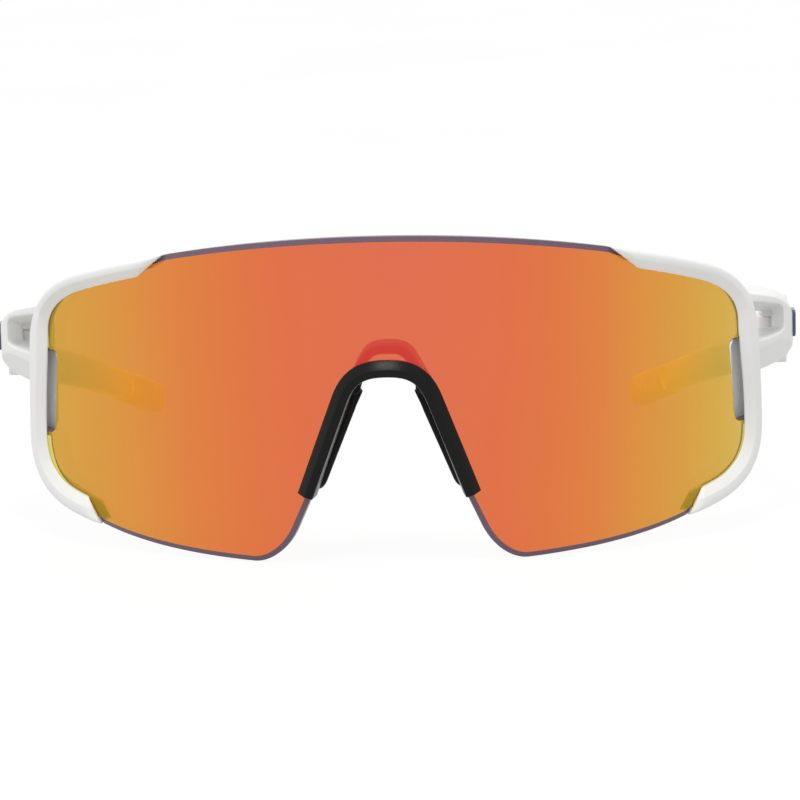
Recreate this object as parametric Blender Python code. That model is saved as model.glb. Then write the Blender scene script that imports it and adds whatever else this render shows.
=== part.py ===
"""Wraparound sport sunglasses with a one-piece shield lens, built as separate pieces.

Row frame: +Z up, the table is z = 0, the front faces -Y and the wearer's left is +X.
All lengths below are in millimetres and become metres when a mesh is made.
"""

import math

import bmesh
import bpy
from mathutils import Matrix, Vector

MM = 0.001

# ---- driving dimensions ----
LENS_RADIUS = 88.0  # front surface of the lens, an upright cylinder
LENS_THICK = 2.0
GAP = 0.3  # room between neighbouring pieces
OPTIC_Z = 29.6  # height of the lens centre line above the table
FRONT_Y = -78.3  # front of the lens in the row frame
COLUMN = 6.0  # width of one flat strip on curved surfaces

LIP_HEIGHT = 1.5  # rim and clip stand this far in front of the lens
RIM_WALL = 1.0  # from the rim's outside to its groove floor
TOP_SLANT = 2.0  # how far each tip of the rim leans back per unit of its width
LOW_SLANT = 1.1

HINGE_X = 70.5
HINGE_Y = 46.0
KNUCKLE_R = 2.7
SCREW_R = 0.7
HINGE_LEVELS = (-1.6, 2.8, 3.1, 6.9, 7.2, 10.7)  # lower, middle and upper knuckle

TIP_Y = 116.0  # where the ear tip bends
SKEW = 2.7  # degrees that both temples lean to the wearer's right, within the play of the hinges

PAD_TOP = (6.2, 1.2)
PAD_LEAN = 22.4
PAD_FLARE = 15.0


# ---- small geometry helpers ----
def remove_everything():
    for ob in list(bpy.data.objects):
        bpy.data.objects.remove(ob, do_unlink=True)


def bezier(p0, c1, c2, p3, count, last=True):
    """Points along a cubic curve."""
    points = []
    for i in range(count + (1 if last else 0)):
        t = i / count
        a, b, c, d = (1 - t) ** 3, 3 * t * (1 - t) ** 2, 3 * t * t * (1 - t), t**3
        points.append(tuple(a * w + b * x + c * y + d * z for w, x, y, z in zip(p0, c1, c2, p3)))
    return points


def lens_point(s, z, r=0.0):
    """A point given by arc length and height on the lens front, and distance in front of it."""
    angle = s / LENS_RADIUS
    radius = LENS_RADIUS + r
    return (radius * math.sin(angle), FRONT_Y + LENS_RADIUS - radius * math.cos(angle), z + OPTIC_Z)


def plan_point(x, y, z):
    """A point measured from the front of the lens and the optical centre line."""
    return (x, y + FRONT_Y, z + OPTIC_Z)


def material(name, colour, roughness, metallic=0.0, alpha=1.0):
    mat = bpy.data.materials.new(name)
    mat.use_nodes = True
    shader = mat.node_tree.nodes["Principled BSDF"]
    shader.inputs["Base Color"].default_value = (*colour, 1.0)
    shader.inputs["Roughness"].default_value = roughness
    shader.inputs["Metallic"].default_value = metallic
    shader.inputs["Alpha"].default_value = alpha
    return mat


def mesh_object(name, points, faces):
    """One object from points in millimetres, with its faces turned outward."""
    mesh = bpy.data.meshes.new(name)
    mesh.from_pydata([tuple(c * MM for c in p) for p in points], [], faces)
    ob = bpy.data.objects.new(name, mesh)
    bpy.context.scene.collection.objects.link(ob)
    bm = bmesh.new()
    bm.from_mesh(mesh)
    bmesh.ops.recalc_face_normals(bm, faces=bm.faces)
    if bm.calc_volume(signed=True) < 0:
        bmesh.ops.reverse_faces(bm, faces=bm.faces)
    bm.to_mesh(mesh)
    bm.free()
    return ob


def loft(name, rings):
    """A closed body through rings that have the same number of points."""
    size = len(rings[0])
    points = [p for ring in rings for p in ring]
    faces = []
    for i in range(len(rings) - 1):
        for j in range(size):
            k = (j + 1) % size
            faces.append((i * size + j, i * size + k, (i + 1) * size + k, (i + 1) * size + j))
    faces.append(tuple(reversed(range(size))))
    faces.append(tuple(range((len(rings) - 1) * size, len(rings) * size)))
    return mesh_object(name, points, faces)


def prism(name, outline, low, high, chamfer=0.0):
    """An upright block over an outline in plan, with its top and bottom edges cut back."""
    cx = sum(p[0] for p in outline) / len(outline)
    cy = sum(p[1] for p in outline) / len(outline)

    def ring(z, inset):
        points = []
        for x, y in outline:
            reach = math.hypot(x - cx, y - cy)
            k = (reach - inset) / reach
            points.append(plan_point(cx + (x - cx) * k, cy + (y - cy) * k, z))
        return points

    if chamfer <= 0:
        return loft(name, [ring(low, 0.0), ring(high, 0.0)])
    levels = ((low, chamfer), (low + chamfer, 0.0), (high - chamfer, 0.0), (high, chamfer))
    return loft(name, [ring(z, inset) for z, inset in levels])


def rod(name, start, end, radius, sides=16):
    """A straight round bar between two points."""
    a, b = Vector(start), Vector(end)
    turn = (b - a).to_track_quat("Z", "Y").to_matrix()
    rings = []
    for centre in (a, b):
        ring = []
        for i in range(sides):
            angle = 2 * math.pi * (i + 0.5) / sides
            ring.append(tuple(centre + turn @ Vector((radius * math.cos(angle), radius * math.sin(angle), 0))))
        rings.append(ring)
    return loft(name, rings)


def slab(name, centre, u, v, n, half_u, half_v, half_n):
    """A box with its own three directions."""
    rings = []
    for side in (-1, 1):
        ring = []
        for a, b in ((-1, -1), (1, -1), (1, 1), (-1, 1)):
            ring.append(tuple(Vector(centre) + a * half_u * u + b * half_v * v + side * half_n * n))
        rings.append(ring)
    return loft(name, rings)


def combine(ob, other, operation):
    """Joins or cuts with an exact Boolean and removes the second body."""
    mod = ob.modifiers.new(operation.lower(), "BOOLEAN")
    mod.operation = operation
    mod.solver = "EXACT"
    mod.object = other
    graph = bpy.context.evaluated_depsgraph_get()
    mesh = bpy.data.meshes.new_from_object(ob.evaluated_get(graph))
    ob.modifiers.clear()
    ob.data = mesh
    bpy.data.objects.remove(other, do_unlink=True)
    bm = bmesh.new()
    bm.from_mesh(mesh)
    bmesh.ops.remove_doubles(bm, verts=bm.verts, dist=0.00001)
    bmesh.ops.dissolve_degenerate(bm, edges=bm.edges, dist=0.000005)
    bm.to_mesh(mesh)
    bm.free()
    return ob


def mirrored(ob, name):
    """The same piece for the wearer's right side."""
    mesh = ob.data.copy()
    mesh.transform(Matrix.Scale(-1, 4, (1, 0, 0)))
    mesh.flip_normals()
    twin = bpy.data.objects.new(name, mesh)
    bpy.context.scene.collection.objects.link(twin)
    return twin


def finish(ob, mat, origin=None):
    """Gives a piece its material and, for a moving piece, an origin on its joint axis."""
    ob.data.materials.clear()
    ob.data.materials.append(mat)
    for poly in ob.data.polygons:
        poly.material_index = 0
        poly.use_smooth = False
    if origin is not None:
        place = Vector(origin) * MM
        ob.data.transform(Matrix.Translation(-place))
        ob.location = place
    return ob


# ---- outlines on the developed lens surface, for the +X half ----
def top_edge(s):
    """Height of the lens and rim top edge."""
    return 29.15 - 0.00226 * s * s


def rim_path():
    """The rim's outside from its top tip round to its bottom tip."""
    start, knee = (41.5, top_edge(41.5)), (61.0, top_edge(61.0))
    path = bezier(start, (48.5, 23.9), (54.8, 22.5), knee, 3, last=False)
    path += bezier(knee, (68.9, 18.6), (74.5, 14.2), (75.1, 6.5), 5, last=False)
    path += bezier((75.1, 6.5), (75.5, 0.5), (75.9, -5.0), (75.9, -10.5), 2, last=False)
    path += bezier((75.9, -10.5), (75.9, -18.0), (71.0, -22.0), (64.0, -23.8), 5, last=False)
    path.append((64.6, -23.65))
    path.append((57.6, -25.35))
    return path


def clip_path():
    """The nose side of the clip from the middle of the arch down one leg."""
    path = bezier((0.0, 4.15), (3.6, 4.15), (5.6, 3.4), (7.1, -0.6), 4, last=False)
    path += bezier((7.1, -0.6), (9.3, -6.4), (11.5, -12.2), (13.65, -17.9), 2)
    return path


def directions(path):
    """The unit direction of travel at each point of a path."""
    result = []
    for i in range(len(path)):
        a, b = path[max(i - 1, 0)], path[min(i + 1, len(path) - 1)]
        length = math.hypot(b[0] - a[0], b[1] - a[1])
        result.append(((b[0] - a[0]) / length, (b[1] - a[1]) / length))
    return result


def beside(point, direction, across, along=0.0):
    """A point to the right of the direction of travel and further along it."""
    tx, tz = direction
    return (point[0] + tz * across + tx * along, point[1] - tx * across + tz * along)


def rise(t, low, high):
    """A smooth step from 0 at low to 1 at high."""
    t = max(0.0, min(1.0, (t - low) / (high - low)))
    return t * t * (3 - 2 * t)


def lip_width(t):
    """Width of the front lip at a share of the way from the top tip to the bottom tip."""
    return 3.1 + 0.7 * rise(t, 0.4, 0.65) + 1.05 * math.exp(-(((t - 0.48) / 0.08) ** 2))


# ---- lens ----
def lens_outline():
    """Outline of the +X half of the lens, from the top centre to the middle of the nose cut-out."""
    rim, clip = rim_path(), clip_path()
    rim_dirs, clip_dirs = directions(rim), directions(clip)
    shoulder = RIM_WALL + GAP
    outline = [(s, top_edge(s)) for s in (0.0, 7.0, 14.0, 21.0, 28.0, 35.0, 41.2)]
    outline.append(beside(rim[0], rim_dirs[0], shoulder, shoulder * TOP_SLANT - GAP))
    for i in range(1, len(rim) - 1):
        outline.append(beside(rim[i], rim_dirs[i], shoulder))
    outline.append(beside(rim[-1], rim_dirs[-1], shoulder, -shoulder * LOW_SLANT + GAP))
    outline.append(beside(rim[-1], rim_dirs[-1], 0.0, GAP))
    outline += bezier((56.8, -25.5), (46.9, -28.15), (35.0, -29.1), (25.0, -29.6), 5)[1:]
    outline += bezier((25.0, -29.6), (22.6, -29.7), (19.0, -28.0), (16.8, -23.6), 4)[1:]
    outline.append(beside(clip[-1], clip_dirs[-1], -0.45, GAP))
    for i in range(len(clip) - 1, 0, -1):
        along = GAP if i == len(clip) - 1 else 0.0
        outline.append(beside(clip[i], clip_dirs[i], -1.2, along))
    outline.append((0.0, clip[0][1] + 1.2))
    return outline


def lens_slot():
    """The upright vent slot near the side edge of the lens, open towards the rim's groove."""
    return [(68.5, 4.4), (69.6, 5.6), (78.0, 5.6), (78.0, -9.5), (70.9, -9.5), (69.8, -8.4)]


def flat_plate(outline):
    """A plate in developed coordinates: arc length, depth and height stand for x, y and z."""
    bm = bmesh.new()
    loop = [bm.verts.new((s, 0.0, z)) for s, z in outline]
    face = bm.faces.new(loop)
    grown = bmesh.ops.extrude_face_region(bm, geom=[face])
    for item in grown["geom"]:
        if isinstance(item, bmesh.types.BMVert):
            item.co.y = -LENS_THICK
    return bm


def make_lens():
    half = lens_outline()
    outline = half + [(-s, z) for s, z in reversed(half[1:-1])]
    bm = flat_plate(outline)
    bmesh.ops.recalc_face_normals(bm, faces=bm.faces)
    mesh = bpy.data.meshes.new("shield_lens")
    bm.to_mesh(mesh)
    bm.free()
    lens = bpy.data.objects.new("shield_lens", mesh)
    bpy.context.scene.collection.objects.link(lens)
    for side in (-1, 1):
        points = [(side * s, depth, z) for depth in (3.0, -5.0) for s, z in lens_slot()]
        count = len(lens_slot())
        faces = [tuple(range(count)), tuple(range(count, 2 * count))]
        faces += [(i, (i + 1) % count, count + (i + 1) % count, count + i) for i in range(count)]
        cutter = mesh_object("slot_cutter", points, faces)
        cutter.data.transform(Matrix.Scale(1 / MM, 4))
        combine(lens, cutter, "DIFFERENCE")
    bm = bmesh.new()
    bm.from_mesh(lens.data)
    bmesh.ops.triangulate(bm, faces=bm.faces)
    strips = int(76.0 // COLUMN)
    for i in range(-strips, strips + 1):
        geom = bm.verts[:] + bm.edges[:] + bm.faces[:]
        bmesh.ops.bisect_plane(bm, geom=geom, dist=0.0001, plane_co=(i * COLUMN, 0, 0), plane_no=(1, 0, 0))
    bmesh.ops.triangulate(bm, faces=bm.faces)
    for v in bm.verts:
        v.co = Vector(lens_point(v.co.x, v.co.z, v.co.y)) * MM
    bmesh.ops.recalc_face_normals(bm, faces=bm.faces)
    if bm.calc_volume(signed=True) < 0:
        bmesh.ops.reverse_faces(bm, faces=bm.faces)
    bm.to_mesh(lens.data)
    bm.free()
    return lens


# ---- side frames ----
def rim_section(width, rear, lean, depth):
    """Rim cross-section: distance in from the outside, and distance in front of the lens."""
    floor = -LENS_THICK - GAP
    return [
        (0.0, 0.7),
        (0.7, LIP_HEIGHT),
        (width - 1.5, LIP_HEIGHT),
        (width, GAP),
        (RIM_WALL, GAP),
        (RIM_WALL, floor),
        (rear, floor),
        (rear - lean * depth, floor - depth),
        (0.2, floor - depth),
    ]


def rim_ring(path, ways, i, slant):
    """The rim section at one point of its path, slanted at the two tips."""
    t = i / (len(path) - 1)
    side = rise(t, 0.12, 0.3) - rise(t, 0.7, 0.88)
    behind_slot = rise(t, 0.46, 0.53) - rise(t, 0.6, 0.68)
    rear = 2.1 + 0.7 * rise(t, 0.7, 0.88) + 2.3 * behind_slot
    depth = 1.9 - 0.7 * side * (1 - behind_slot)
    ring = []
    for across, out in rim_section(lip_width(t), rear, 0.3 + 0.9 * side, depth):
        set_back = min(0.0, out + LENS_THICK + GAP) if t == 1.0 else 0.0
        s, z = beside(path[i], ways[i], across, across * slant + set_back)
        ring.append(lens_point(s, z, out))
    return ring


def rear_tab():
    """The rear lip runs on behind the lens past the bottom tip."""
    path, ways = rim_path(), directions(rim_path())
    rings = []
    last = len(path) - 1
    for i, along, lean in ((last - 2, 0.0, 0.0), (last, -3.5, 0.0), (last, 0.7, 1.1)):
        ring = []
        for across, out in ((0.5, -2.3), (3.0, -2.3), (2.7, -3.6), (0.7, -3.6)):
            slant = LOW_SLANT if lean else 0.5
            s, z = beside(path[i], ways[i], across, along + lean * (out + 2.3) - slant * across)
            ring.append(lens_point(s, z, out))
        rings.append(ring)
    return loft("rear_tab", rings)


def end_piece():
    """The open bracket that runs from the rim back to the hinge."""
    outline = [
        (66.4, 30.7),
        (71.4, 34.8),
        (73.6, 38.0),
        (74.1, 40.6),
        (74.1, 45.2),
        (73.4, 45.2),
        (73.4, 43.0),
        (67.0, 43.0),
        (65.4, 39.0),
        (62.9, 34.4),
        (63.2, 32.3),
    ]
    body = prism("end_piece", outline, -4.0, 15.0)
    front = [(58.0, 15.0), (66.0, 13.3), (70.9, 12.0), (73.0, 10.2), (74.2, 7.6)]
    front += [(74.2, 2.8), (73.6, 1.2), (72.2, -0.6), (68.1, -1.9), (58.0, -3.6)]
    profile = loft("profile", [[plan_point(x, y, z) for x, z in front] for y in (25.0, 50.0)])
    combine(body, profile, "INTERSECT")
    run = Vector((0.7, 0.7, 0.13)).normalized()
    below = (Vector((0.7, -0.7, 0.0)) * 0.82 + Vector((0.0, 0.0, -0.57))).normalized()
    across = run.cross(below).normalized()
    outward = across.cross(run)
    under = slab("under", Vector(plan_point(71.2, 34.7, 3.7)) + outward * 6.0, run, across, outward, 20.0, 20.0, 6.0)
    combine(body, under, "DIFFERENCE")
    low, low_top, _, _, high, high_top = HINGE_LEVELS
    for start, end in ((low, low_top), (high, high_top)):
        web = [(68.0, 41.0), (73.0, 41.0), (73.2, 46.0), (67.8, 46.0)]
        combine(body, prism("web", web, start, end), "UNION")
        foot = plan_point(HINGE_X, HINGE_Y, start)
        top = plan_point(HINGE_X, HINGE_Y, end)
        combine(body, rod("knuckle", foot, top, KNUCKLE_R, 20), "UNION")
    return body


# corners of the bracket's window as pairs: where it meets the front, then its inner opening
WINDOW = (
    ((65.0, 32.0, 11.2), (67.0, 40.2, 8.5)),
    ((72.0, 36.0, 10.2), (70.2, 40.2, 8.4)),
    ((72.2, 36.0, 5.4), (70.2, 40.2, 5.6)),
    ((65.0, 32.0, 4.0), (67.0, 40.2, 4.9)),
)


def end_piece_window():
    """The air gap through the bracket: a funnel in front that opens into a way past the hinge."""
    rings = []
    for share in (-0.3, 1.0):
        rings.append([plan_point(*(a + (b - a) * share for a, b in zip(*pair))) for pair in WINDOW])
    window = loft("window", rings)
    side_way = [(66.9, 33.9), (67.75, 36.0), (70.2, 40.0), (70.2, 44.5), (64.2, 44.5), (64.5, 36.0), (65.9, 34.4)]
    return combine(window, prism("side_way", side_way, 5.0, 8.5), "UNION")


def cut_hinge_bore(frame):
    """Screw clearance, head pocket and insert pocket on the hinge axis."""
    low, low_top, _, _, high, high_top = HINGE_LEVELS
    x, y = HINGE_X, HINGE_Y
    for start, end, radius in (
        (low - 1.0, high_top + 1.0, SCREW_R + GAP),
        (high_top - 1.4, high_top + 1.0, 1.8),
        (low - 1.0, low_top - 0.5, 1.8),
    ):
        cutter = rod("bore", plan_point(x, y, start), plan_point(x, y, end), radius, 20)
        combine(frame, cutter, "DIFFERENCE")
    return frame


BADGE_CENTRE = (74.2, 42.3, 6.0)


def make_side_frame():
    path = rim_path()
    ways = directions(path)
    last = len(path) - 1
    rings = []
    for i in range(len(path)):
        slant = TOP_SLANT if i == 0 else (-LOW_SLANT if i == last else 0.0)
        rings.append(rim_ring(path, ways, i, slant))
    frame = loft("side_frame_left", rings)
    combine(frame, rear_tab(), "UNION")
    bracket = end_piece()
    combine(bracket, end_piece_window(), "DIFFERENCE")
    combine(frame, bracket, "UNION")
    cut_hinge_bore(frame)
    x, y, z = BADGE_CENTRE
    recess = slab("recess", plan_point(x, y, z), Vector((0, 1, 0)), Vector((0, 0, 1)), Vector((1, 0, 0)), 2.5, 2.6, 0.5)
    return combine(frame, recess, "DIFFERENCE")


def make_badge():
    """A blank plate let into the outside of the bracket."""
    x, y, z = BADGE_CENTRE
    half_y, half_z, corner = 2.5 - GAP, 2.6 - GAP, 0.7
    outline = []
    for a, b in ((1, 1), (-1, 1), (-1, -1), (1, -1)):
        first = (a * (half_y - corner), b * half_z)
        second = (a * half_y, b * (half_z - corner))
        outline += [first, second] if a * b < 0 else [second, first]
    rings = [[plan_point(level, y + u, z + v) for u, v in outline] for level in (x - 0.2, x + 0.4)]
    return loft("end_badge_left", rings)


# ---- hinge hardware ----
def make_screw():
    x, y = HINGE_X, HINGE_Y
    top = HINGE_LEVELS[5]
    screw = rod("hinge_screw_left", plan_point(x, y, HINGE_LEVELS[0] + 0.6), plan_point(x, y, top - 1.0), SCREW_R, 20)
    combine(screw, rod("head", plan_point(x, y, top - 1.1), plan_point(x, y, top - 0.2), 1.5, 20), "UNION")
    ways = (Vector((1, 0, 0)), Vector((0, 1, 0)), Vector((0, 0, 1)))
    slot = slab("slot", plan_point(x, y, top - 0.2), *ways, 2.0, 0.25, 0.4)
    return combine(screw, slot, "DIFFERENCE")


def make_insert():
    x, y = HINGE_X, HINGE_Y
    low, high = HINGE_LEVELS[0] + 0.1, HINGE_LEVELS[1] - 0.8
    insert = rod("hinge_insert_left", plan_point(x, y, low), plan_point(x, y, high), 1.5, 20)
    bore = rod("bore", plan_point(x, y, low - 1), plan_point(x, y, high + 1), SCREW_R + GAP, 20)
    return combine(insert, bore, "DIFFERENCE")


# ---- temples ----
# distance back from the lens, inner face, thickness, bottom and top of each temple section
TEMPLE_SECTIONS = (
    (49.3, 69.1, 5.4, -2.0, 9.9),
    (57.0, 67.7, 4.7, -4.4, 5.6),
    (66.0, 66.0, 4.2, -6.9, 0.3),
    (85.0, 61.9, 3.8, -11.5, -4.6),
    (104.0, 57.7, 3.6, -16.4, -10.1),
    (TIP_Y, 55.3, 3.6, -19.6, -13.6),
)
GRIP_SECTIONS = (
    (TIP_Y + 1.4, 54.6, 4.6, -20.6, -13.7),
    (126.0, 53.0, 5.2, -22.6, -16.0),
    (140.0, 51.4, 5.4, -26.0, -19.3),
    (150.5, 50.6, 5.4, -28.6, -21.7),
    (155.8, 50.4, 5.2, -29.6, -22.9),
    (157.2, 50.7, 4.6, -29.1, -23.4),
)


def side_section(y, inner, thick, low, high):
    """An eight-sided upright section with flat inner and outer faces."""
    corner = 0.26 * (high - low)
    edge = 0.28 * thick
    outline = [
        (inner, low + corner),
        (inner, high - corner),
        (inner + edge, high),
        (inner + thick - edge, high),
        (inner + thick, high - corner),
        (inner + thick, low + corner),
        (inner + thick - edge, low),
        (inner + edge, low),
    ]
    return [plan_point(x, y, z) for x, z in outline]


def tip_axis():
    """Centre and direction of the ear tip's bend, and the way the temple runs there."""
    y, inner, thick, low, high = TEMPLE_SECTIONS[-1]
    centre = Vector(plan_point(inner + thick / 2, y, (low + high) / 2))
    run = Vector((-0.15, 1.0, -0.262)).normalized()
    across = run.cross(Vector((0, 0, 1))).normalized()
    return centre, across, run, (high - low) / 2 * 0.965


def make_temple():
    temple = loft("temple_left", [side_section(*row) for row in TEMPLE_SECTIONS])
    _, _, mid_low, mid_high, _, _ = HINGE_LEVELS
    x, y = HINGE_X, HINGE_Y
    shell = [(73.5, y - 0.3), (74.2, y - 0.3), (74.2, y + 4.5), (73.2, y + 4.5)]
    combine(temple, prism("shell", shell, 0.6, 7.6), "UNION")
    web = [(x - 1.3, y), (74.0, y), (74.0, y + 4.5), (x - 1.3, y + 4.5)]
    combine(temple, prism("web", web, mid_low, mid_high), "UNION")
    foot, top = plan_point(x, y, mid_low), plan_point(x, y, mid_high)
    combine(temple, rod("knuckle", foot, top, KNUCKLE_R, 20), "UNION")
    bore = rod("bore", plan_point(x, y, mid_low - 1), plan_point(x, y, mid_high + 1), SCREW_R + GAP, 20)
    combine(temple, bore, "DIFFERENCE")
    centre, across, run, radius = tip_axis()
    combine(temple, rod("round_end", centre - across * 1.7, centre + across * 1.7, radius, 24), "UNION")
    up = across.cross(run)
    slot = slab("slot", centre - run * 0.6, run, up, across, 5.5, 2.0, 0.95)
    return combine(temple, slot, "DIFFERENCE")


def make_grip():
    grip = loft("ear_grip_left", [side_section(*row) for row in GRIP_SECTIONS])
    centre, across, run, radius = tip_axis()
    hollow = rod("hollow", centre - across * 6, centre + across * 6, radius + GAP, 32)
    combine(grip, hollow, "DIFFERENCE")
    hole = rod("hole", centre, centre + run * 29.0, 0.6 + GAP, 12)
    return combine(grip, hole, "DIFFERENCE")


def make_tip_wire():
    centre, across, run, radius = tip_axis()
    return rod("tip_wire_left", centre - run * 5.5, centre + run * 28.0, 0.6, 12)


# ---- nosepiece ----
def clip_section():
    return [
        (0.0, 0.7),
        (0.6, 1.3),
        (1.5, LIP_HEIGHT),
        (2.5, 1.0),
        (3.0, GAP),
        (0.9, GAP),
        (0.9, -LENS_THICK - GAP),
        (2.6, -LENS_THICK - GAP),
        (2.4, -3.6),
        (0.3, -3.6),
    ]


def make_clip():
    half = clip_path()
    path = [(-s, z) for s, z in reversed(half[1:])] + half
    rings = []
    for point, way in zip(path, directions(path)):
        ring = []
        for across, out in clip_section():
            s, z = beside(point, way, -across)
            ring.append(lens_point(s, z, out))
        rings.append(ring)
    return loft("nose_clip", rings)


def make_bridge():
    """The saddle over the nose, behind the lens, which carries the two pads."""
    half = [
        ((0.0, 7.3), (0.0, 8.95)),
        ((2.1, 7.2), (3.4, 8.5)),
        ((3.2, 6.1), (4.9, 6.9)),
        ((4.5, 4.0), (6.2, 4.4)),
        ((5.3, 2.0), (7.6, 2.0)),
    ]
    spans = [((-a[0], a[1]), (-b[0], b[1])) for a, b in reversed(half[1:])] + half
    rings = []
    for inner, outer in spans:
        ring = []
        for share, y in ((0.1, 4.4), (0.0, 6.0), (0.0, 12.8), (0.25, 13.5), (0.75, 13.5), (1.0, 12.8), (1.0, 6.0), (0.9, 4.4)):
            x = inner[0] + (outer[0] - inner[0]) * share
            z = inner[1] + (outer[1] - inner[1]) * share
            ring.append(plan_point(x, y, z))
        rings.append(ring)
    bridge = loft("nose_bridge", rings)
    for side in (-1, 1):
        x, z = side * PAD_TOP[0], PAD_TOP[1]
        hollow = rod("hollow", plan_point(x, 0.0, z), plan_point(x, 22.0, z), 1.6, 24)
        combine(bridge, hollow, "DIFFERENCE")
        frame = pad_frame(side)
        pocket = slab("pocket", frame[0] - frame[1] * 1.6, frame[1], frame[2], frame[3], 2.6, 1.7, 0.85)
        combine(bridge, pocket, "DIFFERENCE")
    return bridge


def pad_frame(side):
    """Pivot, then the ways down the pad, back along it and square out of its inner face."""
    lean, flare = math.radians(PAD_LEAN), math.radians(PAD_FLARE)
    pivot = Vector(plan_point(side * PAD_TOP[0], 10.6, PAD_TOP[1]))
    down = Vector((side * math.sin(lean), 0, -math.cos(lean)))
    outward = Vector((side * math.cos(lean), 0, math.sin(lean)))
    back = Vector((0, math.cos(flare), 0)) + outward * math.sin(flare)
    inner = Vector((0, math.sin(flare), 0)) - outward * math.cos(flare)
    return pivot, down, back, inner


def make_pad(side, name):
    pivot, down, back, inner = pad_frame(side)
    outline = [(0.6, -4.0), (3.0, -4.4), (16.4, -4.4), (19.4, -3.0), (20.3, -0.4), (19.4, 2.2), (16.4, 3.4), (5.0, 3.2), (0.6, 2.4)]
    rings = []
    for depth, shrink in ((-0.95, 0.88), (-0.5, 1.0), (0.6, 1.0), (0.95, 0.93)):
        ring = []
        for u, v in outline:
            ring.append(tuple(pivot + down * (10 + (u - 10) * shrink) + back * v * shrink + inner * depth))
        rings.append(ring)
    pad = loft(name, rings)
    head = rod("head", pivot - Vector((0, 4.6, 0)), pivot + Vector((0, 4.4, 0)), 1.3, 16)
    combine(pad, head, "UNION")
    pocket = slab("pocket", pivot + down * 6.6, down, back, inner, 8.4, 1.3, 0.5)
    return combine(pad, pocket, "DIFFERENCE")


def make_pad_wire(side, name):
    pivot, down, back, inner = pad_frame(side)
    return slab(name, pivot + down * 6.2, down, back, inner, 8.0, 1.0, 0.2)


# ---- assembly ----
def build():
    remove_everything()
    lens_mat = material("lens_coating", (0.82, 0.24, 0.09), 0.06, 0.1, 0.8)
    white = material("frame_white", (0.86, 0.86, 0.85), 0.35)
    steel = material("screw_steel", (0.62, 0.62, 0.63), 0.28, 1.0)
    brass = material("insert_brass", (0.72, 0.55, 0.26), 0.3, 1.0)
    rubber = material("grip_rubber", (0.80, 0.80, 0.78), 0.7)
    wire_mat = material("core_wire", (0.5, 0.5, 0.52), 0.35, 1.0)
    badge_mat = material("badge_navy", (0.03, 0.06, 0.14), 0.3)
    black = material("nose_black", (0.03, 0.032, 0.03), 0.5)
    pad_mat = material("pad_rubber", (0.04, 0.04, 0.04), 0.75)

    finish(make_lens(), lens_mat)
    frame, badge, screw, insert = make_side_frame(), make_badge(), make_screw(), make_insert()
    for ob, name, mat in (
        (frame, "side_frame_right", white),
        (badge, "end_badge_right", badge_mat),
        (screw, "hinge_screw_right", steel),
        (insert, "hinge_insert_right", brass),
    ):
        finish(mirrored(ob, name), mat)
        finish(ob, mat)

    pivot = plan_point(HINGE_X, HINGE_Y, 5.75)
    bend = tuple(tip_axis()[0])
    for make, name, mat, origin in (
        (make_temple, "temple", white, pivot),
        (make_grip, "ear_grip", rubber, bend),
        (make_tip_wire, "tip_wire", wire_mat, bend),
    ):
        left = make()
        right = mirrored(left, name + "_right")
        for ob, side in ((left, 1), (right, -1)):
            hinge = Vector((side * pivot[0], pivot[1], pivot[2]))
            swing = Matrix.Translation(hinge) @ Matrix.Rotation(math.radians(SKEW), 4, "Z") @ Matrix.Translation(-hinge)
            spot = swing @ Vector((side * origin[0], origin[1], origin[2]))
            swing.translation *= MM
            ob.data.transform(swing)
            finish(ob, mat, tuple(spot))

    finish(make_clip(), black)
    finish(make_bridge(), black)
    for side, word in ((1, "left"), (-1, "right")):
        place = tuple(pad_frame(side)[0])
        finish(make_pad(side, "nose_pad_" + word), pad_mat, place)
        finish(make_pad_wire(side, "pad_wire_" + word), wire_mat, place)


build()
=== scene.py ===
"""Finished look of the wraparound sport sunglasses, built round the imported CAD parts.

Shapes are worked out in millimetres: +Z up, the front faces -Y and the wearer's left is +X.
Each mesh is scaled to metres when it is complete.
"""

from math import copysign, cos, exp, hypot, pi, radians, sin, sqrt

import bmesh
import bpy
from mathutils import Matrix, Vector


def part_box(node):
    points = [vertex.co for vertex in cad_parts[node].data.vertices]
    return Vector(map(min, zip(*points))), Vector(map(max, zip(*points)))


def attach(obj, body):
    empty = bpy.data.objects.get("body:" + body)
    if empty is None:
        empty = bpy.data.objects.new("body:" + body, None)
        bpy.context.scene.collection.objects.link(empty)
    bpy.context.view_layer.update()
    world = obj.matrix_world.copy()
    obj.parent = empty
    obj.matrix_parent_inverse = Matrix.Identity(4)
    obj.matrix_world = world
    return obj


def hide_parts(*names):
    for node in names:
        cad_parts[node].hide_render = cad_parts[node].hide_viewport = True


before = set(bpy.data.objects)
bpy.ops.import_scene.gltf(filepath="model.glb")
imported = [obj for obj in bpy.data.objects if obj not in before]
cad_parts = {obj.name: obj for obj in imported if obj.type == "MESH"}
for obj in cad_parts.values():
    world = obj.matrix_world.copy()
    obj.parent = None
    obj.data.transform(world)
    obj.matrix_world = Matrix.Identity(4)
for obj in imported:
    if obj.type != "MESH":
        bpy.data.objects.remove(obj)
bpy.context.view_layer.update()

MM = 0.001

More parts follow.
